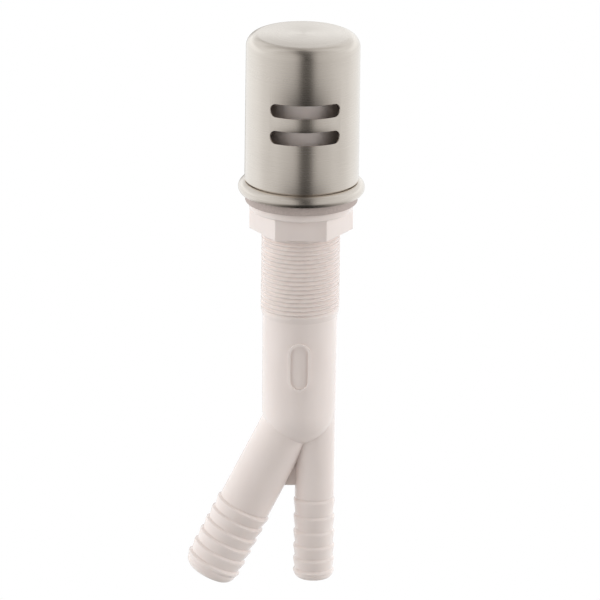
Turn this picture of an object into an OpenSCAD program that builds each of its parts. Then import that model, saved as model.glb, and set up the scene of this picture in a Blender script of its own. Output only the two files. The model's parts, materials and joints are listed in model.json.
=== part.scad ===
// Dishwasher air gap: a covered vent that stands on the deck of a sink and is clamped through
// a hole in it, with a straight inlet leg and a slanted outlet leg for two hoses.
// Millimetres, +Z up. The origin is on the shank's axis, on the deck's top face, which is the
// underside of the gasket. -Y is the front, with the slots of the cover.

/* [Cover] */
// Room between the corners of the top lock nut and the inside of the cover
cover_room = 2; // [1.6:0.1:4]
// Height of the cover over its lower edge
cover_h = 61.2; // [59:0.1:75]
// Sheet thickness of the cover
cover_wall = 0.7; // [0.5:0.1:1.2]
// Outer radius of the rounded top edge
cover_edge_r = 5.4; // [3:0.1:8]
// Angle by which the slots sit to the right of the front
cover_turn = 3.3; // [0:0.1:20]
// Number of vent slots, one above the other
slot_count = 2; // [1:1:3]
// Height of one slot, with round ends
slot_h = 5.5; // [4.5:0.1:7]
// Half the angle that a slot spans round the cover
slot_half_angle = 37.5; // [25:0.5:45]
// Height of the lowest slot's middle over the cover's lower edge
slot_z = 23.3; // [20:0.1:27]
// Distance from one slot's middle to the next
slot_pitch = 11.2; // [9:0.1:13]

/* [Escutcheon] */
// How far the rounded rim stands out past the cover
flange_overhang = 2.5; // [2:0.1:5]
// Radius of the round that turns the rim over
flange_round_r = 2.8; // [2.2:0.1:3]
// Height of the ring over the exposed gasket
flange_h = 5; // [4.4:0.1:7]
// Height of the raised centre over the seat of the cover
flange_boss_h = 2.4; // [1.5:0.1:4]
// Sheet thickness of the pressed ring
flange_wall = 1.2; // [0.8:0.1:1.4]

/* [Gasket] */
// Height of the gasket that shows under the ring
gasket_show = 4; // [2:0.1:6]

/* [Friction washer] */
// Width of the washer between its hole and its rim
washer_w = 4.8; // [3:0.1:8]
// Thickness of the washer
washer_t = 3.2; // [1.5:0.1:5]
// Bevel round the washer's lower edge
washer_bevel = 0.5; // [0.2:0.1:1]

/* [Nuts] */
// Least wall of the mounting nut, between its bore and a flat
nut_wall = 2.25; // [1.5:0.05:5]
// Height of the mounting nut
nut_h = 8.8; // [6:0.1:12]
// Least wall of the top lock nut
lock_nut_wall = 1.7; // [1.5:0.05:3]
// Height of the top lock nut
lock_nut_h = 6.6; // [4:0.1:9]
// Lead-in chamfer at each end of a nut's bore
nut_lead = 0.9; // [0.4:0.1:1.5]

/* [Threaded shank] */
// Radius over the thread, 1 1/4 inch across
shank_r = 15.875; // [15.4:0.025:16]
// Free thread below the mounting nut
thread_free = 33.5; // [20:0.5:45]
// Height of the chamfer where the thread runs out
thread_runout = 2.5; // [1:0.1:5]
// Shank that stands above the top lock nut
thread_spare = 1; // [0.5:0.1:3]
// Distance from one thread to the next, 14 to the inch
thread_pitch = 1.8143; // [1.5:0.0001:2.4]
// Depth of the thread
thread_depth = 0.95; // [0.6:0.05:1]
// Width of the flat at the thread's root
thread_root = 0.2; // [0.1:0.05:0.3]

/* [Barrel] */
// How much narrower the barrel is than the thread, in radius
barrel_step = 0.775; // [0.6:0.025:1.2]
// How much narrower still it gets on the way down to its domed end
barrel_draft = 0.3; // [0:0.05:0.6]
// Length of the drafted barrel
barrel_len = 40; // [34:0.5:60]
// Wall of the barrel at its domed end
barrel_wall = 2.6; // [2.4:0.1:3.2]

/* [Raised obround] */
// Width over the raised rim on the barrel's front
obround_w = 9.4; // [7:0.1:12]
// Height over the raised rim
obround_h = 20.5; // [14:0.1:26]
// Width of the rim itself
obround_rim = 1.2; // [0.8:0.1:2]
// How far the rim stands off the barrel
obround_raise = 0.5; // [0.3:0.1:0.8]
// Distance from the barrel's top to the middle of the obround
obround_drop = 18.5; // [14:0.1:26]

/* [Inlet leg and tube] */
// Outer radius of the plain inlet leg
inlet_leg_r = 7.9; // [7:0.1:8.4]
// Radius over the inlet barbs, for a 5/8 inch hose
inlet_crest_r = 8.3; // [8:0.05:8.8]
// Radius of the water way through the inlet
inlet_bore_r = 5.4; // [4:0.1:5.6]
// Wall of the tube that rises through the shank
inlet_tube_wall = 1.5; // [1.2:0.1:1.6]
// How far the tube stays inside the face of the spigot that it grows out of
tube_inset = 0.175; // [0.1:0.025:0.4]
// Distance from the middle of the dome to the first inlet barb
inlet_first_barb = 38.3; // [35:0.1:44]
// Distance from the first inlet barb to the second
inlet_pitch = 7; // [5:0.1:7.2]
// How much each further pitch is shorter than the one before
inlet_pitch_step = 0.5; // [0:0.05:0.6]
// Distance from the last inlet barb to the end of the leg
inlet_end_len = 3.4; // [3.3:0.1:8]
// Radius of the rounded end of the inlet leg
inlet_end_r = 2.6; // [1:0.1:2.7]

/* [Outlet leg] */
// Outer radius of the plain outlet leg
outlet_leg_r = 10.7; // [10:0.1:11.2]
// Radius over the outlet barbs, for a 7/8 inch hose
outlet_crest_r = 11.35; // [11:0.05:12]
// Radius of the water way through the outlet
outlet_bore_r = 8.4; // [7:0.1:8.8]
// Angle of the outlet leg from the vertical
outlet_tilt = 26.3; // [24:0.1:32]
// Height over the middle of the dome where the outlet's axis meets the barrel's
outlet_rise = 2.2; // [0:0.1:5]
// Distance from there to the first outlet barb
outlet_first_barb = 49.5; // [46:0.1:52]
// Distance from one outlet barb to the next
outlet_pitch = 5.2; // [4.5:0.1:6.5]
// Distance from the last outlet barb to the end of the leg
outlet_end_len = 5.7; // [5.2:0.1:9]
// Radius of the rounded end of the outlet leg
outlet_end_r = 4; // [2:0.1:4.5]

/* [Barbs] */
// Number of barbs on each leg
barb_count = 6; // [3:1:8]
// Length of the steep shoulder that faces the body
barb_shoulder = 0.8; // [0.4:0.1:1.4]
// Length of the round land on a barb's crest
barb_land = 0.6; // [0.4:0.1:1]
// Depth of a barb's valley under the plain leg
barb_valley = 0.25; // [0.1:0.05:0.5]

/* [Web between the legs] */
// Thickness of the web
web_t = 3; // [2:0.1:5]
// Distance from the middle of the dome to the web's lower edge
web_drop = 32.4; // [26:0.1:34]

/* [Spigot and diverter cap] */
// How much narrower the spigot is than the shank, in radius
spigot_step = 2; // [1.7:0.1:2.3]
// Length of the spigot inside the skirt of the cap
spigot_h = 8; // [5:0.1:10]
// Wall of the spigot
spigot_wall = 1.4; // [1.2:0.1:1.6]
// Wall of the diverter cap
diverter_wall = 1.4; // [1:0.1:1.5]
// Radius of the rounded top edge
diverter_edge_r = 6; // [4:0.1:9]
// Clear height over the inlet tube's mouth, inside the cap
diverter_headroom = 11.6; // [9:0.1:13]
// Clear height over the diverter cap, inside the cover
crown_room = 10.85; // [10.5:0.05:14]
// Half the angle that the side window spans
window_half_angle = 30; // [20:1:40]
// Height of the side window
window_h = 14; // [10:0.5:15]

/* [Clearances] */
// Gap between pieces that lift off and their seats
lift_gap = 0.3; // [0.2:0.05:0.5]
// Radial gap between the nuts' bores and the thread
thread_gap = 0.075; // [0.05:0.005:0.1]
// Radial gap between the rings and the shank that passes through them
ring_gap = 0.35; // [0.2:0.05:0.8]
// Gap under the cover's lower edge
cover_gap = 0.35; // [0.3:0.05:0.6]
// Radial gap between the gasket and the turned-in rim round it
gasket_gap = 0.1; // [0.05:0.05:0.5]

/* [Hidden] */
$fn = 96;
// Margin by which a cut runs past the faces that it opens
past = 1;

// Heights on the shank's axis, from the deck up
flange_z = gasket_show;
cover_z = flange_z + flange_h;
seat_z = cover_z - cover_gap;
boss_z = seat_z + flange_boss_h;
lock_nut_top = boss_z + lock_nut_h;
thread_top = lock_nut_top + thread_spare;
spigot_top = thread_top + spigot_h;
diverter_z = thread_top + lift_gap;
diverter_top = cover_z + cover_h - cover_wall - crown_room;
tube_top = diverter_top - diverter_wall - diverter_headroom;
window_z = spigot_top + lift_gap;
gasket_h = seat_z - flange_wall;

// Heights from the deck down
nut_z = -washer_t - nut_h;
thread_bottom = nut_z - thread_free;
barrel_top = thread_bottom - thread_runout;
groove_w = thread_root + 2 * thread_depth * tan(30);
first_groove_z = nut_z - groove_w / 2;
last_groove_z = thread_bottom + (groove_w + thread_pitch) / 2;
dome_z = barrel_top - barrel_len;
web_z = dome_z - web_drop;
obround_z = barrel_top - obround_drop;

// Radii from the shank outwards
ring_bore_r = shank_r + ring_gap;
nut_bore_r = shank_r + thread_gap;
nut_corner_r = (nut_bore_r + nut_wall) / cos(30);
lock_nut_corner_r = (nut_bore_r + lock_nut_wall) / cos(30);
washer_r = ring_bore_r + washer_w;
cover_inner_r = lock_nut_corner_r + cover_room;
cover_r = cover_inner_r + cover_wall;
boss_r = cover_inner_r - lift_gap;
flange_r = cover_r + flange_overhang;
rim_x = flange_r - flange_round_r;
gasket_r = rim_x - gasket_gap;

// Radii from the shank inwards
plain_r = shank_r - thread_depth / 2;
barrel_top_r = shank_r - barrel_step;
barrel_r = barrel_top_r - barrel_draft;
spigot_r = shank_r - spigot_step;
chamber_r = spigot_r - spigot_wall;
barrel_bore_r = barrel_r - barrel_wall;
diverter_inner_r = spigot_r + lift_gap;
diverter_r = diverter_inner_r + diverter_wall;
inlet_tube_r = inlet_bore_r + inlet_tube_wall;
inlet_x = spigot_r - tube_inset - inlet_tube_r;

// Distance of barb k from the start of its leg, for a pitch that closes up by step each time
function barb_at(k, first, pitch, step) = first + k * pitch - step * k * (k - 1) / 2;
inlet_leg_len = barb_at(barb_count - 1, inlet_first_barb, inlet_pitch, inlet_pitch_step)
    + inlet_end_len;
outlet_leg_len = barb_at(barb_count - 1, outlet_first_barb, outlet_pitch, 0) + outlet_end_len;
inlet_end_z = dome_z - inlet_leg_len;

// Half a section of a disc with a rounded top edge
module round_top_section(r, h, edge_r) {
    square([r, h - edge_r]);
    square([r - edge_r, h]);
    translate([r - edge_r, h - edge_r]) circle(edge_r);
}

// Cup with a rounded top edge, open below
module cup(r, h, edge_r, wall) {
    difference() {
        rotate_extrude() intersection() {
            round_top_section(r, h, edge_r);
            square([r, h]);
        }
        translate([0, 0, -past]) rotate_extrude() intersection() {
            round_top_section(r - wall, h - wall + past, edge_r - wall);
            square([r, h + past]);
        }
    }
}

// Flat ring
module ring(outer_r, inner_r, h) {
    difference() {
        cylinder(r = outer_r, h = h);
        translate([0, 0, -past]) cylinder(r = inner_r, h = h + 2 * past);
    }
}

// Hexagonal nut with a plain bore at the thread's crest and a lead-in at each end
module hex_nut(corner_r, h) {
    difference() {
        cylinder(r = corner_r, h = h, $fn = 6);
        translate([0, 0, -past]) cylinder(r = nut_bore_r, h = h + 2 * past);
        cylinder(r1 = nut_bore_r + nut_lead, r2 = nut_bore_r, h = nut_lead);
        translate([0, 0, h - nut_lead])
            cylinder(r1 = nut_bore_r, r2 = nut_bore_r + nut_lead, h = nut_lead);
    }
}

// Wedge of the given height that opens from the axis to the front
module wedge(reach, half_angle, h) {
    linear_extrude(h) polygon([
        [0, 0],
        [-reach * tan(half_angle), -reach],
        [reach * tan(half_angle), -reach]
    ]);
}

// Slot with round ends, cut towards the axis all along its arc
module slot_cut() {
    round_angle = slot_half_angle - asin(slot_h / 2 / cover_r);
    translate([0, 0, -slot_h / 2]) wedge(cover_r + past, round_angle, slot_h);
    for (side = [-1, 1]) rotate([90, 0, side * round_angle])
        cylinder(r = slot_h / 2, h = cover_r + past);
}

module cover() {
    color([0.66, 0.63, 0.59])
    translate([0, 0, cover_z]) difference() {
        cup(cover_r, cover_h, cover_edge_r, cover_wall);
        rotate([0, 0, cover_turn])
            for (k = [0 : slot_count - 1]) translate([0, 0, slot_z + k * slot_pitch]) slot_cut();
    }
}

// Half a section of the pressed ring's outside: the boss in the cover, the seat of its edge,
// and the rim that turns over and down to the gasket
module flange_section() {
    square([boss_r, boss_z - flange_z]);
    square([rim_x, seat_z - flange_z]);
    translate([rim_x, seat_z - flange_z - flange_round_r]) circle(flange_round_r);
}

// The same section, one sheet thickness inside
module flange_hollow_section() {
    translate([0, -past]) square([boss_r - flange_wall, boss_z - flange_z - flange_wall + past]);
    translate([0, -past]) square([rim_x, seat_z - flange_z - flange_wall + past]);
    translate([rim_x, seat_z - flange_z - flange_round_r]) circle(flange_round_r - flange_wall);
}

module escutcheon() {
    color([0.66, 0.63, 0.59])
    translate([0, 0, flange_z]) difference() {
        rotate_extrude() difference() {
            intersection() {
                flange_section();
                square([flange_r, boss_z]);
            }
            intersection() {
                flange_hollow_section();
                translate([0, -past]) square([flange_r, boss_z + past]);
            }
        }
        cylinder(r = ring_bore_r, h = boss_z);
    }
}

module gasket() {
    color([0.6, 0.53, 0.5]) ring(gasket_r, ring_bore_r, gasket_h);
}

module friction_washer() {
    color([0.87, 0.83, 0.8])
    translate([0, 0, -washer_t]) difference() {
        union() {
            translate([0, 0, washer_bevel]) cylinder(r = washer_r, h = washer_t - washer_bevel);
            cylinder(r1 = washer_r - washer_bevel, r2 = washer_r, h = washer_bevel);
        }
        translate([0, 0, -past]) cylinder(r = ring_bore_r, h = washer_t + 2 * past);
    }
}

module mounting_nut() {
    color([0.87, 0.83, 0.8]) translate([0, 0, nut_z]) hex_nut(nut_corner_r, nut_h);
}

module top_lock_nut() {
    color([0.87, 0.83, 0.8]) translate([0, 0, boss_z]) hex_nut(lock_nut_corner_r, lock_nut_h);
}

// Cap over the inlet tube's mouth, with one window in its left side for the air break
module diverter_cap() {
    color([0.87, 0.83, 0.8]) difference() {
        translate([0, 0, diverter_z])
            cup(diverter_r, diverter_top - diverter_z, diverter_edge_r, diverter_wall);
        translate([0, 0, window_z]) rotate([0, 0, -90])
            wedge(diverter_r + past, window_half_angle, window_h);
    }
}

// Half a section of a barbed leg, from its start down to its rounded end, drawn upwards
module leg_section(leg_r, crest_r, len, first, pitch, step, end_r) {
    valley_r = leg_r - barb_valley;
    at = [for (k = [0 : barb_count - 1]) barb_at(k, first, pitch, step)];
    teeth = [for (s = at, p = [
        [valley_r, s - barb_shoulder],
        [crest_r, s],
        [crest_r, s + barb_land]
    ]) p];
    polygon(concat(
        [[0, 0], [leg_r, 0], [leg_r, first - 2 * barb_shoulder]],
        teeth,
        [[leg_r, len - end_r], [0, len - end_r]]
    ));
    square([leg_r - end_r, len]);
    translate([leg_r - end_r, len - end_r]) circle(end_r);
}

module barbed_leg(leg_r, crest_r, len, first, pitch, step, end_r) {
    rotate([180, 0, 0]) rotate_extrude()
        leg_section(leg_r, crest_r, len, first, pitch, step, end_r);
}

module place_outlet() {
    translate([0, 0, dome_z + outlet_rise]) rotate([0, outlet_tilt, 0]) children();
}

module place_inlet() {
    translate([inlet_x, 0, dome_z]) children();
}

// Raised rim on the barrel's front, between two cylinders about the barrel's axis
module raised_obround() {
    straight = obround_h - obround_w;
    translate([0, 0, obround_z]) intersection() {
        rotate([90, 0, 0]) linear_extrude(barrel_top_r + past) difference() {
            union() {
                square([obround_w, straight], center = true);
                for (side = [-1, 1]) translate([0, side * straight / 2]) circle(obround_w / 2);
            }
            union() {
                square([obround_w - 2 * obround_rim, straight], center = true);
                for (side = [-1, 1]) translate([0, side * straight / 2])
                    circle(obround_w / 2 - obround_rim);
            }
        }
        translate([0, 0, -obround_h]) cylinder(r = barrel_top_r + obround_raise, h = 2 * obround_h);
    }
}

// Groove between two threads, with flanks 60 degrees apart
module thread_groove() {
    rotate_extrude() polygon([
        [shank_r - thread_depth, thread_root / 2],
        [shank_r - thread_depth, -thread_root / 2],
        [shank_r, -groove_w / 2],
        [shank_r + past, -groove_w / 2],
        [shank_r + past, groove_w / 2],
        [shank_r, groove_w / 2]
    ]);
}

// Shank whose free thread is a row of rings at the thread's pitch, and plain at the middle of the
// thread's depth from there up, inside the nuts
module shank() {
    difference() {
        translate([0, 0, thread_bottom]) cylinder(r = shank_r, h = first_groove_z - thread_bottom);
        for (z = [first_groove_z : -thread_pitch : last_groove_z]) translate([0, 0, z]) thread_groove();
    }
    translate([0, 0, first_groove_z]) cylinder(r = plain_r, h = thread_top - first_groove_z);
    translate([0, 0, barrel_top]) cylinder(r1 = barrel_top_r, r2 = shank_r, h = thread_runout);
    translate([0, 0, thread_top]) cylinder(r = spigot_r, h = spigot_h);
}

module barrel() {
    translate([0, 0, dome_z]) cylinder(r1 = barrel_r, r2 = barrel_top_r, h = barrel_len);
    translate([0, 0, dome_z]) sphere(barrel_r);
}

// Flat web in the plane of both legs
module web() {
    run = dome_z + outlet_rise - web_z;
    translate([0, web_t / 2, 0]) rotate([90, 0, 0]) linear_extrude(web_t) polygon([
        [0, dome_z],
        [inlet_x, dome_z],
        [inlet_x, web_z],
        [-run * tan(outlet_tilt), web_z]
    ]);
}

// Everything that the water runs through on its way down to the outlet
module drain_space() {
    translate([0, 0, barrel_top]) cylinder(r = chamber_r, h = spigot_top - barrel_top + past);
    translate([0, 0, dome_z])
        cylinder(r1 = barrel_bore_r, r2 = chamber_r, h = barrel_top - dome_z);
    translate([0, 0, dome_z]) sphere(barrel_bore_r);
    place_outlet() translate([0, 0, -outlet_leg_len - past])
        cylinder(r = outlet_bore_r, h = outlet_leg_len + past);
}

module moulded_body() {
    color([0.87, 0.83, 0.8]) difference() {
        union() {
            difference() {
                union() {
                    shank();
                    barrel();
                    raised_obround();
                    web();
                    place_inlet() barbed_leg(inlet_leg_r, inlet_crest_r, inlet_leg_len,
                        inlet_first_barb, inlet_pitch, inlet_pitch_step, inlet_end_r);
                    place_outlet() barbed_leg(outlet_leg_r, outlet_crest_r, outlet_leg_len,
                        outlet_first_barb, outlet_pitch, 0, outlet_end_r);
                }
                drain_space();
            }
            translate([inlet_x, 0, web_z]) cylinder(r = inlet_tube_r, h = tube_top - web_z);
        }
        translate([inlet_x, 0, inlet_end_z - past])
            cylinder(r = inlet_bore_r, h = tube_top - inlet_end_z + 2 * past);
    }
}

moulded_body();
top_lock_nut();
escutcheon();
gasket();
diverter_cap();
cover();
friction_washer();
mounting_nut();
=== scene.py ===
# A dishwasher air gap, seen from the front and a little above: a brushed nickel cover on its ring,
# a rubber gasket, and a white plastic body with its nut, its washer and two barbed hose legs.
import json
import math

import bmesh
import bpy
from mathutils import Matrix, Vector

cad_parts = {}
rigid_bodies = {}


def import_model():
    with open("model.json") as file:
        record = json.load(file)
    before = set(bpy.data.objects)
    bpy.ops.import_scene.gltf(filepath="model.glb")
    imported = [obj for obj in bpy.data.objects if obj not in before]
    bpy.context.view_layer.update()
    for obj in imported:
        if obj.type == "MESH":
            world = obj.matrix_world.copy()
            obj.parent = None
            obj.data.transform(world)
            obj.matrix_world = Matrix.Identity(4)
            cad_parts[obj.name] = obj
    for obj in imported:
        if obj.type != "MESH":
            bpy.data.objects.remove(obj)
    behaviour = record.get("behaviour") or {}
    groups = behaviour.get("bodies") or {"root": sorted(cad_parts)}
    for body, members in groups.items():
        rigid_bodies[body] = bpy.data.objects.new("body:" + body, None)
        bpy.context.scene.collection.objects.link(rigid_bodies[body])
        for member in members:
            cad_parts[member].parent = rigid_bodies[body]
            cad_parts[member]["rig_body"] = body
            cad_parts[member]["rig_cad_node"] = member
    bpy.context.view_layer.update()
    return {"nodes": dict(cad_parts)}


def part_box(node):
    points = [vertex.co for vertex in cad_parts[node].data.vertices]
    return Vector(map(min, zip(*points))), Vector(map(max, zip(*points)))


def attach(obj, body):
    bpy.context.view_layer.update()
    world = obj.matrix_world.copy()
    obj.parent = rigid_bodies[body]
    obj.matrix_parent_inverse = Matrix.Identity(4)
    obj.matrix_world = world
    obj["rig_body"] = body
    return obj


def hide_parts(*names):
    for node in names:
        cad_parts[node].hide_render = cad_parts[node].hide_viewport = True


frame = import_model()

mm = 0.001


def heights(node):
    """The bottom and the top of a CAD node, in millimetres."""
    low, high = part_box(node)
    return round(low.z / mm, 3), round(high.z / mm, 3)


def outer_radius(node):
    """The outer radius of a round CAD node, in millimetres."""
    return round(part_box(node)[1].x / mm, 2)


# What the new pieces take over from the nodes. All sizes are in millimetres
cover_bottom, cover_top = heights("cover")
cover_r = outer_radius("cover")
gasket_bottom, gasket_top = heights("gasket")
gasket_r = outer_radius("gasket")
lock_nut_bottom, lock_nut_top = heights("top_lock_nut")
washer_bottom, washer_top = heights("friction_washer")
nut_bottom, nut_top = heights("mounting_nut")

# The shank and its thread, which goes on above the lock nut and is free below the mounting nut
shank_r = 15.875
thread_pitch = 25.4 / 14
thread_spare = 1
thread_free = 33.5
thread_top = lock_nut_top + thread_spare
thread_bottom = nut_bottom - thread_free

# The groove between the threads: its depth, and half its width at the root and at the surface
groove_depth = 0.85
groove_root = 0.12
groove_mouth = 0.6

# The rings and the nuts round the shank, with the gaps inside them and under the washer
ring_gap = 0.35
ring_bore_r = shank_r + ring_gap
washer_w = 4.8
washer_r = ring_bore_r + washer_w
washer_bevel = 0.5
thread_gap = 0.075
nut_bore_r = shank_r + thread_gap
nut_wall = 2.25
lock_nut_wall = 1.7
nut_lead = 0.9
nut_gap = 0.01

# The cover and its slots, with angles in degrees
cover_wall = 0.7
cover_edge_r = 5.0
cover_crown = 0.5
cover_turn = 3.3
slot_h = 5.5
slot_half_angle = 37.5
slot_z = 23.3
slot_pitch = 11.2
lower_slot = cover_bottom + slot_z
upper_slot = lower_slot + slot_pitch

# How much each edge is softened
nut_side_soft = 0.45
nut_rim_soft = 0.3
gasket_soft = 0.45
washer_soft = 0.2
cover_foot_soft = 0.35
slot_soft = 0.14

# How finely the round shapes are made
ring_steps = 128
coil_steps = 72
cover_steps = 160
cover_edge_steps = 14
crown_steps = 8
slot_end_steps = 48
slot_bend_steps = 15

# How near counts as the same place, and how near two points are to be merged
near = 0.01
same_point = 0.0001


# Making and shaping a piece

def let_go():
    """Leaves edit mode and selects nothing."""
    if bpy.context.object and bpy.context.object.mode != "OBJECT":
        bpy.ops.object.mode_set(mode="OBJECT")
    bpy.ops.object.select_all(action="DESELECT")


def take(piece):
    """Makes one object the active one and the only one selected."""
    let_go()
    piece.select_set(True)
    bpy.context.view_layer.objects.active = piece
    return piece


def newest(name):
    """The object that was added last, with its name."""
    piece = bpy.context.object
    piece.name = piece.data.name = name
    return piece


def settle(piece):
    """Puts the object's place, turn and size into its mesh."""
    take(piece)
    bpy.ops.object.transform_apply(location=True, rotation=True, scale=True)
    return piece


def rod(name, radius, bottom, top, points, turn=(0, 0, 0)):
    """A cylinder on the axis, or a prism where it has few points, turned about its middle."""
    let_go()
    bpy.ops.mesh.primitive_cylinder_add(vertices=points, radius=radius * mm, depth=(top - bottom) * mm,
                                        location=(0, 0, (top + bottom) / 2 * mm), rotation=turn)
    return settle(newest(name))


def section(name, inner_r, outer_r, bottom, top):
    """An upright rectangle beside the axis, from which a ring or a coil is made."""
    let_go()
    bpy.ops.mesh.primitive_plane_add(size=1, rotation=(math.pi / 2, 0, 0),
                                     location=((outer_r + inner_r) / 2 * mm, 0, (top + bottom) / 2 * mm))
    piece = newest(name)
    piece.scale = ((outer_r - inner_r) * mm, (top - bottom) * mm, 1)
    return settle(piece)


def edit(piece, kind):
    """Opens a piece in edit mode with nothing selected, to work on its points, edges or faces."""
    take(piece)
    bpy.ops.object.mode_set(mode="EDIT")
    bpy.ops.mesh.select_mode(type=kind)
    bpy.ops.mesh.select_all(action="DESELECT")


def pick(piece, kind, test):
    """Opens a piece in edit mode and selects the points, edges or faces that pass a test."""
    edit(piece, kind)
    mesh = bmesh.from_edit_mesh(piece.data)
    for element in {"VERT": mesh.verts, "EDGE": mesh.edges, "FACE": mesh.faces}[kind]:
        element.select_set(bool(test(element)))
    bmesh.update_edit_mesh(piece.data)


def middle(edge):
    """The middle of an edge, in millimetres."""
    return (edge.verts[0].co + edge.verts[1].co) / (2 * mm)


def rise(edge):
    """How far an edge climbs, in millimetres."""
    return abs(edge.verts[0].co.z - edge.verts[1].co.z) / mm


def soften(piece, width, test, segments):
    """Rounds the edges that pass a test."""
    pick(piece, "EDGE", test)
    bpy.ops.mesh.bevel(offset=width * mm, segments=segments, affect="EDGES")


def keep_outline(piece):
    """Takes the faces of a section away and leaves its outline."""
    pick(piece, "FACE", lambda face: True)
    bpy.ops.mesh.delete(type="ONLY_FACE")


def close(piece):
    """Merges doubled points, turns the faces outwards and leaves edit mode."""
    bpy.ops.mesh.select_all(action="SELECT")
    bpy.ops.mesh.remove_doubles(threshold=same_point * mm)
    bpy.ops.mesh.normals_make_consistent(inside=False)
    return take(piece)


def smooth(piece, angle=30):
    """Shades a piece smooth, apart from the edges sharper than an angle in degrees."""
    take(piece)
    bpy.ops.object.shade_smooth_by_angle(angle=math.radians(angle))
    return piece


def apply(piece, kind, **settings):
    """Adds one modifier with its settings and applies it."""
    take(piece)
    modifier = piece.modifiers.new(kind.title(), kind)
    for name, value in settings.items():
        setattr(modifier, name, value)
    bpy.ops.object.modifier_apply(modifier=modifier.name)
    return piece


def combine(piece, other, operation):
    """Joins another shape to a piece, or cuts it out of it, and takes the other object away."""
    apply(piece, "BOOLEAN", operation=operation, solver="MANIFOLD", object=other)
    bpy.data.objects.remove(other)
    return piece


# The rings and the nuts

def turned_ring(name, inner_r, outer_r, bottom, top, *rounds):
    """A ring from its section, spun about the axis.

    Each of rounds says which corners are rounded, by a test, with what radius and how many segments.
    """
    ring = section(name, inner_r, outer_r, bottom, top)
    for test, radius, segments in rounds:
        pick(ring, "VERT", test)
        bpy.ops.mesh.bevel(offset=radius * mm, offset_type="OFFSET", segments=segments,
                           affect="VERTICES")
    keep_outline(ring)
    bpy.ops.mesh.select_all(action="SELECT")
    bpy.ops.mesh.spin(steps=ring_steps, angle=2 * math.pi, center=(0, 0, 0), axis=(0, 0, 1))
    return smooth(close(ring))


def gasket_ring():
    """The soft ring on the deck, with all its corners rounded."""
    return turned_ring("gasket_ring", ring_bore_r, gasket_r, gasket_bottom, gasket_top,
                       (lambda point: True, gasket_soft, 4))


def washer_ring():
    """The washer, with a wider bevel round its outer lower corner than at the other three."""
    middle_r = (ring_bore_r + washer_r) / 2 * mm
    middle_height = (washer_bottom + washer_top) / 2 * mm

    def at_outer_foot(point):
        return point.co.x > middle_r and point.co.z < middle_height

    return turned_ring("washer_ring", ring_bore_r, washer_r, washer_bottom, washer_top,
                       (at_outer_foot, washer_bevel, 3),
                       (lambda point: not at_outer_foot(point), washer_soft, 2))


def bore_tool(bottom, top):
    """A rod with a flare at each end, which cuts a nut's bore and its two lead-in chamfers.

    Each flare goes on past the nut, as wide as it is long.
    """
    overshoot = 1
    flare = nut_lead + overshoot
    widening = (nut_bore_r + flare) / nut_bore_r
    tool = rod("bore_tool", nut_bore_r, bottom + nut_lead, top - nut_lead, ring_steps)
    for side in (-1, 1):
        pick(tool, "FACE", lambda face: face.normal.z * side > 0.9)
        bpy.ops.mesh.extrude_region_move(TRANSFORM_OT_translate={"value": (0, 0, side * flare * mm)})
        bpy.ops.transform.resize(value=(widening, widening, 1), center_override=(0, 0, 0))
    return tool


def hex_nut(name, wall, bottom, top):
    """A nut with softened edges, from a six-sided prism, with a wall from its bore to its flats."""
    corner_r = round((nut_bore_r + wall) / math.cos(math.pi / 6), 3)
    nut = rod(name, corner_r, bottom, top, 6, turn=(0, 0, math.pi / 6))
    soften(nut, nut_side_soft, lambda edge: rise(edge) > 1, segments=4)
    soften(nut, nut_rim_soft, lambda edge: rise(edge) < 1, segments=3)
    return smooth(combine(nut, bore_tool(bottom, top), "DIFFERENCE"))


def shank_nut():
    """The nut under the washer, a hair below it so that their faces don't coincide."""
    return hex_nut("shank_nut", nut_wall, nut_bottom, nut_top - nut_gap)


def lock_nut():
    """The nut on the ring, inside the cover."""
    return hex_nut("lock_nut", lock_nut_wall, lock_nut_bottom, lock_nut_top)


# The body

def thread_groove(bottom, top):
    """The groove between the threads, as a closed coil: one section carried round and up by a screw.

    The section is narrow at the root, wide at the shank's surface and as wide a little outside it.
    """
    overshoot = 0.6
    coil = section("thread_groove", shank_r - groove_depth, shank_r,
                   bottom - groove_mouth, bottom + groove_mouth)
    pick(coil, "EDGE", lambda edge: middle(edge).x < shank_r - groove_depth + near)
    bpy.ops.transform.resize(value=(1, 1, groove_root / groove_mouth),
                             center_override=(0, 0, bottom * mm))
    pick(coil, "EDGE", lambda edge: middle(edge).x > shank_r - near)
    bpy.ops.mesh.extrude_region_move(TRANSFORM_OT_translate={"value": (overshoot * mm, 0, 0)})
    bpy.ops.mesh.select_all(action="SELECT")
    bpy.ops.mesh.dissolve_limited(angle_limit=0.01)
    keep_outline(coil)
    apply(coil, "SCREW", axis="Z", screw_offset=thread_pitch * mm,
          iterations=int((top - bottom) / thread_pitch), steps=coil_steps, render_steps=coil_steps,
          use_merge_vertices=False)
    edit(coil, "EDGE")
    bpy.ops.mesh.select_non_manifold()
    bpy.ops.mesh.fill()
    return close(coil)


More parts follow.
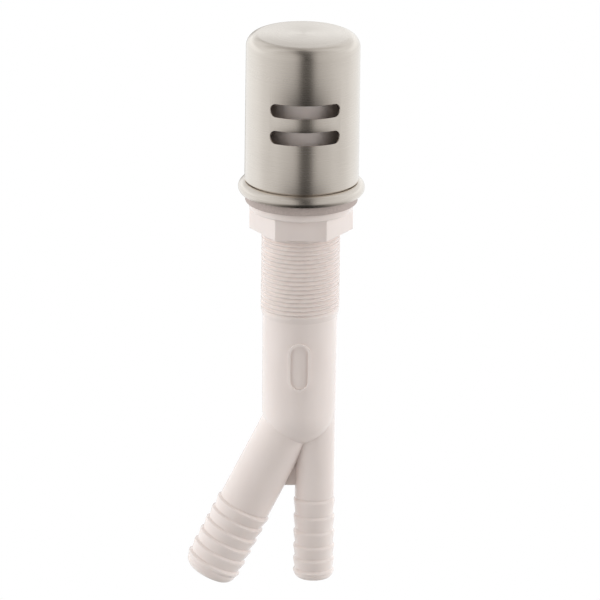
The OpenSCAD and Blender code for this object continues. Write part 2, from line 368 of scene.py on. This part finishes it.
def threaded_body():
    """The moulded body, with its thread as one true coil in place of the source's level rings."""
    body = frame["nodes"]["moulded_body"].copy()
    body.data = body.data.copy()
    body.parent = None
    body.name = body.data.name = "threaded_body"
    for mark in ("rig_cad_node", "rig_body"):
        if mark in body:
            del body[mark]
    bpy.context.scene.collection.objects.link(body)

    # The node's mesh is split along its creases, which are marked before its points are merged
    edit(body, "EDGE")
    bpy.ops.mesh.select_non_manifold()
    bpy.ops.mesh.mark_sharp()
    bpy.ops.mesh.select_all(action="SELECT")
    bpy.ops.mesh.remove_doubles(threshold=same_point * mm)

    # A plain sleeve, from inside the shank's wall to a hair outside it, fills the level grooves
    sleeve_inner_r = 13.8
    sleeve_outer_r = shank_r + 0.005
    sleeve_bottom = thread_bottom + 0.6
    sleeve = turned_ring("thread_sleeve", sleeve_inner_r, sleeve_outer_r, sleeve_bottom, thread_top)
    combine(body, sleeve, "UNION")

    # The coil starts below the thread and goes on above it
    coil_bottom = thread_bottom - 0.7
    coil_top = thread_top + 1.2
    return combine(body, thread_groove(coil_bottom, coil_top), "DIFFERENCE")


# The cover

def slot_tool(height):
    """One vent slot: a flat bar with round ends, wrapped round the axis.

    A short rod is pulled apart to a bar, cut across so that it can bend, bent and put in its place.
    """
    half_depth = 2.5
    half_angle = math.radians(slot_half_angle)
    straight = half_angle * cover_r - slot_h / 2
    tool = rod("slot_tool", slot_h / 2, -half_depth, half_depth, slot_end_steps,
               turn=(math.pi / 2, math.pi / slot_end_steps, 0))
    for side in (-1, 1):
        pick(tool, "VERT", lambda point: point.co.x * side > 0)
        bpy.ops.transform.translate(value=(side * straight * mm, 0, 0))
    edit(tool, "VERT")
    for step in range(1 - slot_bend_steps, slot_bend_steps):
        bpy.ops.mesh.select_all(action="SELECT")
        bpy.ops.mesh.bisect(plane_co=(step / slot_bend_steps * straight * mm, 0, 0), plane_no=(1, 0, 0))
    apply(tool, "SIMPLE_DEFORM", deform_method="BEND", deform_axis="Z", angle=2 * half_angle)
    tool.location = (0, -cover_r * mm, height * mm)
    settle(tool)
    tool.rotation_euler.z = math.radians(cover_turn)
    return settle(tool)


def crown(cover):
    """Raises the flat of the cover's top ring by ring: steeply at its edge, hardly at its middle."""
    flat_r = cover_r - cover_edge_r
    steepness = 3.5
    raised = [cover_crown * (1 - (1 - ring / crown_steps) ** steepness) for ring in range(crown_steps)]
    pick(cover, "FACE", lambda face: face.normal.z > 0.999)
    for lower, upper in zip(raised, raised[1:]):
        bpy.ops.mesh.inset(thickness=flat_r / crown_steps * mm, use_even_offset=False)
        bpy.ops.transform.translate(value=(0, 0, (upper - lower) * mm))
    bpy.ops.mesh.poke()


def vented_cover():
    """The drawn cover: a cup with a rounded top edge and two slots with softened edges."""
    shoulder = cover_top - cover_crown

    def at_outer_foot(edge):
        at_foot = middle(edge).z < cover_bottom + near
        return at_foot and middle(edge).xy.length > cover_r - cover_wall / 4

    cover = rod("vented_cover", cover_r, cover_bottom, shoulder, cover_steps,
                turn=(0, 0, math.radians(cover_turn)))
    pick(cover, "FACE", lambda face: face.normal.z < -0.9)
    bpy.ops.mesh.delete(type="FACE")
    soften(cover, cover_edge_r, lambda edge: middle(edge).z > shoulder - near,
           segments=cover_edge_steps)
    crown(cover)
    apply(cover, "SOLIDIFY", thickness=cover_wall * mm, offset=-1, use_even_offset=True)
    soften(cover, cover_foot_soft, at_outer_foot, segments=4)
    for height in (lower_slot, upper_slot):
        combine(cover, slot_tool(height), "DIFFERENCE")
    apply(cover, "BEVEL", width=slot_soft * mm, segments=3, limit_method="ANGLE",
          angle_limit=math.radians(50), use_clamp_overlap=False)
    return smooth(cover, angle=35)


# Materials

class Value:
    """A socket in a node tree; arithmetic on it adds Math nodes."""

    def __init__(self, graph, socket):
        self.graph, self.socket = graph, socket

    def maths(self, operation, *values):
        return self.graph.node("ShaderNodeMath", {"operation": operation}, *values)

    def __add__(self, other):
        return self.maths("ADD", self, other)

    def __sub__(self, other):
        return self.maths("SUBTRACT", self, other)

    def __rsub__(self, other):
        return self.maths("SUBTRACT", other, self)

    def __mul__(self, other):
        return self.maths("MULTIPLY", self, other)

    def __pow__(self, other):
        return self.maths("POWER", self, other)

    def __abs__(self):
        return self.maths("ABSOLUTE", self)

    __radd__ = __add__
    __rmul__ = __mul__


class Graph:
    """A node tree and the one method that adds a node to it."""

    def __init__(self, tree):
        self.tree = tree
        tree.nodes.clear()

    def feed(self, socket, value):
        """Links a value to a socket, or sets the socket to a number or a colour."""
        if isinstance(value, Value):
            self.tree.links.new(value.socket, socket)
        else:
            socket.default_value = value

    def node(self, kind, settings, *values, out=0, **named):
        """Adds a node: its settings come first, then the values or links of its sockets.

        It gives one of the node's outputs, if it has any.
        """
        made = self.tree.nodes.new(kind)
        for name, setting in settings.items():
            setattr(made, name, setting)
        named = {name.replace("_", " "): value for name, value in named.items()}
        for key, value in [*enumerate(values), *named.items()]:
            self.feed(made.inputs[key], value)
        return Value(self, made.outputs[out]) if made.outputs else None

    def limit(self, value, low, high, shape="SMOOTHSTEP"):
        """Runs from 0 at low to 1 at high, and stays there."""
        return self.node("ShaderNodeMapRange", {"interpolation_type": shape},
                         value, low, high, 0.0, 1.0)

    def mix(self, factor, first, second):
        """Mixes two colours. Their sockets are numbered, since other sockets have the same names."""
        made = self.node("ShaderNodeMix", {"data_type": "RGBA"}, factor, out=2)
        for number, value in ((6, first), (7, second)):
            self.feed(made.socket.node.inputs[number], value)
        return made

    def ramp(self, value, stops):
        """Runs through grey levels, each of them given with its position."""
        made = self.node("ShaderNodeValToRGB", {}, value)
        elements = made.socket.node.color_ramp.elements
        elements.remove(elements[1])
        for number, (position, level) in enumerate(stops):
            stop = elements[0] if number == 0 else elements.new(position)
            stop.position, stop.color = position, (level, level, level, 1)
        return made

    def noise(self, place, scale, detail=2.0, w=None):
        """Soft noise in space, or in space and one more value."""
        size = "3D" if w is None else "4D"
        extra = {} if w is None else {"W": w}
        return self.node("ShaderNodeTexNoise", {"noise_dimensions": size}, Vector=place,
                         Scale=scale, Detail=detail, **extra)


class Finish(Graph):
    """A material: a surface shader with its constants, and what varies over it linked in."""

    def __init__(self, name, **constants):
        self.material = bpy.data.materials.new(name)
        self.material.use_nodes = True
        super().__init__(self.material.node_tree)
        surface = self.node("ShaderNodeBsdfPrincipled", {}, **constants)
        self.surface = surface.socket.node
        self.node("ShaderNodeOutputMaterial", {}, Surface=surface)
        self.place = self.node("ShaderNodeTexCoord", {}, out="Object")

    def stretched(self, *scale):
        """The place on the object, scaled by its own amount along each axis."""
        return self.node("ShaderNodeMapping", {}, Vector=self.place, Scale=scale)

    def colour(self, share, dark, light):
        """Lets the colour wander from a dark to a light tone."""
        self.feed(self.surface.inputs["Base Color"], self.mix(share, (*dark, 1), (*light, 1)))

    def roughness(self, value):
        self.feed(self.surface.inputs["Roughness"], value)

    def relief(self, height, depth):
        """Raises and sinks the surface by a depth in millimetres."""
        bump = self.node("ShaderNodeBump", {}, Height=height, Distance=depth * mm, Strength=1.0)
        self.feed(self.surface.inputs["Normal"], bump)


def brushed_nickel():
    """Satin nickel, brushed round the cover: fine rings in the relief and the gloss, soft clouding."""
    metal = Finish("brushed_nickel", Metallic=1.0, Anisotropic=0.4, Anisotropic_Rotation=0.25)
    x, y = (metal.node("ShaderNodeSeparateXYZ", {}, metal.place, out=axis) for axis in range(2))
    from_axis = (x * x + y * y) ** 0.5

    def brushing(lines, streaks, detail):
        """Noise in rings round the axis, with so many lines to the metre across them and so many
        streaks to the metre along them.
        """
        place = metal.stretched(streaks, streaks, lines)
        return metal.noise(place, scale=1.0, detail=detail, w=from_axis * lines)

    rings = brushing(lines=9000, streaks=60, detail=3.0)
    broad = brushing(lines=1500, streaks=25, detail=2.0)
    cloud = metal.noise(metal.place, scale=60, detail=3.0)
    metal.colour(metal.limit(0.6 * rings + 0.4 * cloud, low=0.3, high=0.7),
                 dark=(0.735, 0.67, 0.605), light=(0.79, 0.725, 0.655))
    metal.roughness(0.22 + 0.05 * rings + 0.04 * broad)
    metal.relief(0.6 * rings + 0.4 * broad, depth=0.0012)
    return metal.material


def white_polypropylene():
    """Slightly warm white moulded plastic: faint flow clouding and a fine matt grain."""
    plastic = Finish("white_polypropylene", IOR=1.5, Subsurface_Weight=0.35,
                     Subsurface_Radius=(0.5, 0.48, 0.45), Subsurface_Scale=0.003)
    flow = plastic.noise(plastic.stretched(50, 50, 18), scale=1.0, detail=3.0)
    grain = plastic.noise(plastic.place, scale=2600)
    plastic.colour(plastic.limit(flow, low=0.3, high=0.7),
                   dark=(0.875, 0.785, 0.745), light=(0.915, 0.825, 0.785))
    plastic.roughness(0.2 + 0.08 * grain)
    plastic.relief(grain, depth=0.01)
    return plastic.material


def grey_rubber():
    """Soft moulded rubber: matt, pinkish grey, with a light speckle and grain."""
    rubber = Finish("grey_rubber", IOR=1.5)
    speckle = rubber.noise(rubber.place, scale=1800)
    cloud = rubber.noise(rubber.place, scale=90)
    rubber.colour(rubber.limit(0.7 * speckle + 0.3 * cloud, low=0.35, high=0.65),
                  dark=(0.48, 0.405, 0.375), light=(0.57, 0.485, 0.45))
    rubber.roughness(0.62 + 0.2 * speckle)
    rubber.relief(speckle, depth=0.03)
    return rubber.material


def dress(piece, material):
    """Gives a whole piece one material."""
    piece.data.materials.clear()
    piece.data.materials.append(material)
    for face in piece.data.polygons:
        face.material_index = 0


# The floor and the light

def pale_floor():
    """A plain white floor, far below, which is clear to a camera underneath and throws no light."""
    width, depth_below = 6000, 400
    let_go()
    bpy.ops.mesh.primitive_plane_add(size=width * mm, location=(0, 0, -depth_below * mm))
    floor = settle(newest("floor"))
    floor.visible_glossy = floor.visible_diffuse = floor.visible_shadow = False
    paint = bpy.data.materials.new("floor_paint")
    paint.use_nodes = True
    graph = Graph(paint.node_tree)
    plain = graph.node("ShaderNodeBsdfDiffuse", {}, (0.86, 0.86, 0.86, 1))
    white = graph.node("ShaderNodeEmission", {}, (1, 1, 1, 1), 1.0)
    clear = graph.node("ShaderNodeBsdfTransparent", {})
    from_camera = graph.node("ShaderNodeLightPath", {}, out="Is Camera Ray")
    from_below = graph.node("ShaderNodeNewGeometry", {}, out="Backfacing")
    seen = graph.node("ShaderNodeMixShader", {}, from_below, white, clear)
    surface = graph.node("ShaderNodeMixShader", {}, from_camera, plain, seen)
    graph.node("ShaderNodeOutputMaterial", {}, Surface=surface)
    floor.data.materials.append(paint)


def studio_light():
    """The light all round: dim in front, brighter to the sides and brightest on the wall behind.

    A direction has three parts from -1 to 1: fore is towards the front, across to the side and z
    up. The front of the light is turned a little aside from the front of the object.
    """
    world = bpy.data.worlds.new("studio")
    bpy.context.scene.world = world
    world.use_nodes = True
    sky = Graph(world.node_tree)
    limit = sky.limit
    way = sky.node("ShaderNodeTexCoord", {}, out="Generated")
    x, y, z = (sky.node("ShaderNodeSeparateXYZ", {}, way, out=axis) for axis in range(3))
    aside = math.radians(7.6)
    fore = x * math.sin(aside) - y * math.cos(aside)
    across = x * math.cos(aside) + y * math.sin(aside)
    beside = abs(across)

    # From dark in front to bright at the sides; high up, and behind above all, it is bright sooner
    widened = 1 + 2.4 * limit(z, 0.2, 0.7) * (0.05 + 0.95 * limit(fore, 0.1, -0.4))
    lifted = 0.42 * limit(fore, 0.1, -0.7, "LINEAR") * limit(z, 0.2, 0.6)
    levels = ((0.06, 0.07), (0.16, 0.17), (0.27, 0.5), (0.4, 0.68), (0.68, 0.77), (0.92, 0.9), (1, 1.0))
    around = sky.ramp(beside * widened + lifted, levels)

    # A little light from below and from straight above fills the dark front
    filled = 0.12 * (limit(z, 0.1, -0.2) + limit(z, 0.7, 1.0))
    around = sky.node("ShaderNodeMath", {"operation": "SMOOTH_MAX"}, around, filled, 0.1)

    # The wall behind, brightest at its middle and higher up, with a dim strip low at its middle
    # and a dim foot
    rear = 1.06 + 0.16 * limit(fore, 0.1, -0.95) + 0.18 * limit(z, 0.0, 0.25)
    rear = rear * (1 - 0.6 * limit(beside, 0.2, 0.02) * limit(z, 0.22, 0.05))
    rear = rear * (1 - 0.6 * limit(z, -0.55, -0.8))
    wall = limit(fore, 0.08, -0.35) * limit(z, 0.47, 0.25)

    # It is dim low down between the sides, and somewhat dim high up behind
    under = limit(z, -0.4, -0.52) * limit(beside, 0.95, 0.35)
    above = limit(fore, -0.1, -0.5) * limit(z, 0.6, 0.85)
    level = 0.84 * (1 - 0.35 * above) * ((1 - 0.88 * under) * (1 - wall) * around + wall * rear)

    # The camera itself sees plain white, and the dim parts are a little warmer than the bright ones
    from_camera = sky.node("ShaderNodeLightPath", {}, out="Is Camera Ray")
    level = level + from_camera * (1 - level)
    tint = sky.mix(limit(level, 0.1, 1.0, "LINEAR"), (1, 0.95, 0.9, 1), (1, 1.03, 1.05, 1))
    light = sky.node("ShaderNodeBackground", {}, tint, level)
    sky.node("ShaderNodeOutputWorld", {}, Surface=light)


def soft_lamp(name, turned, lift, strength):
    """A wide lamp that lights the matt surfaces and leaves the reflections alone.

    It stands turned degrees round from the front, to the right, and lift degrees up.
    """
    lamp = bpy.data.lights.new(name, "SUN")
    lamp.energy = strength
    lamp.angle = math.radians(50)
    stand = bpy.data.objects.new(name, lamp)
    stand.rotation_euler = (math.radians(90 - lift), 0, math.radians(turned))
    stand.visible_glossy = False
    bpy.context.scene.collection.objects.link(stand)


# The camera

def photo_camera():
    """A camera far away and a little above, with the photograph's scale, tilt and slight roll.

    The middle of its picture lies a hair to the left of the foot of the cover, and well below it.
    """
    photo_width = 600
    pixel_size = 0.403 * mm
    tilt = math.radians(17.4)
    roll = math.radians(0.73)
    distance = 7000 * mm
    film_width = 36
    cover_foot = Vector((0, 0, cover_bottom * mm))
    left_of_foot = 0.645 * mm
    below_foot = 48.92 * mm

    level_right = Vector((1, 0, 0))
    level_up = Vector((0, math.sin(tilt), math.cos(tilt)))
    ahead = Vector((0, math.cos(tilt), -math.sin(tilt)))
    right = math.cos(roll) * level_right + math.sin(roll) * level_up
    up = math.cos(roll) * level_up - math.sin(roll) * level_right
    spot = cover_foot - left_of_foot * right - below_foot * up - distance * ahead

    lens = bpy.data.cameras.new("camera")
    lens.sensor_width = film_width
    lens.lens = film_width * distance / (photo_width * pixel_size)
    camera = bpy.data.objects.new("camera", lens)
    bpy.context.scene.collection.objects.link(camera)
    camera.matrix_world = Matrix.Translation(spot) @ Matrix((right, up, -ahead)).transposed().to_4x4()
    return camera


# The new pieces, with the node that each stands for, the body that it moves with and its material
pieces = (
    (threaded_body(), "moulded_body", "body", "white_polypropylene"),
    (vented_cover(), "cover", "cover", "brushed_nickel"),
    (gasket_ring(), "gasket", "body", "grey_rubber"),
    (washer_ring(), "friction_washer", "washer", "white_polypropylene"),
    (shank_nut(), "mounting_nut", "nut", "white_polypropylene"),
    (lock_nut(), "top_lock_nut", "body", "white_polypropylene"))
materials = {"brushed_nickel": brushed_nickel(), "white_polypropylene": white_polypropylene(),
             "grey_rubber": grey_rubber()}
for piece, node, carrier, slot in pieces:
    dress(piece, materials[slot])
    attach(piece, carrier)
    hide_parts(node)

# The two nodes whose shapes are right as they are
for node, slot in (("escutcheon", "brushed_nickel"), ("diverter_cap", "white_polypropylene")):
    for place in frame["nodes"][node].material_slots:
        place.material = materials[slot]

pale_floor()
studio_light()
soft_lamp("front_lamp", turned=0, lift=5, strength=0.08)
soft_lamp("left_lamp", turned=-73, lift=15, strength=0.98)
soft_lamp("right_lamp", turned=77, lift=10, strength=1.16)
soft_lamp("above_lamp", turned=0, lift=90, strength=0.3)
soft_lamp("below_lamp", turned=0, lift=-75, strength=0.6)
bpy.context.scene.camera = photo_camera()
bpy.context.scene.view_settings.view_transform = "Standard"

bpy.context.view_layer.update()
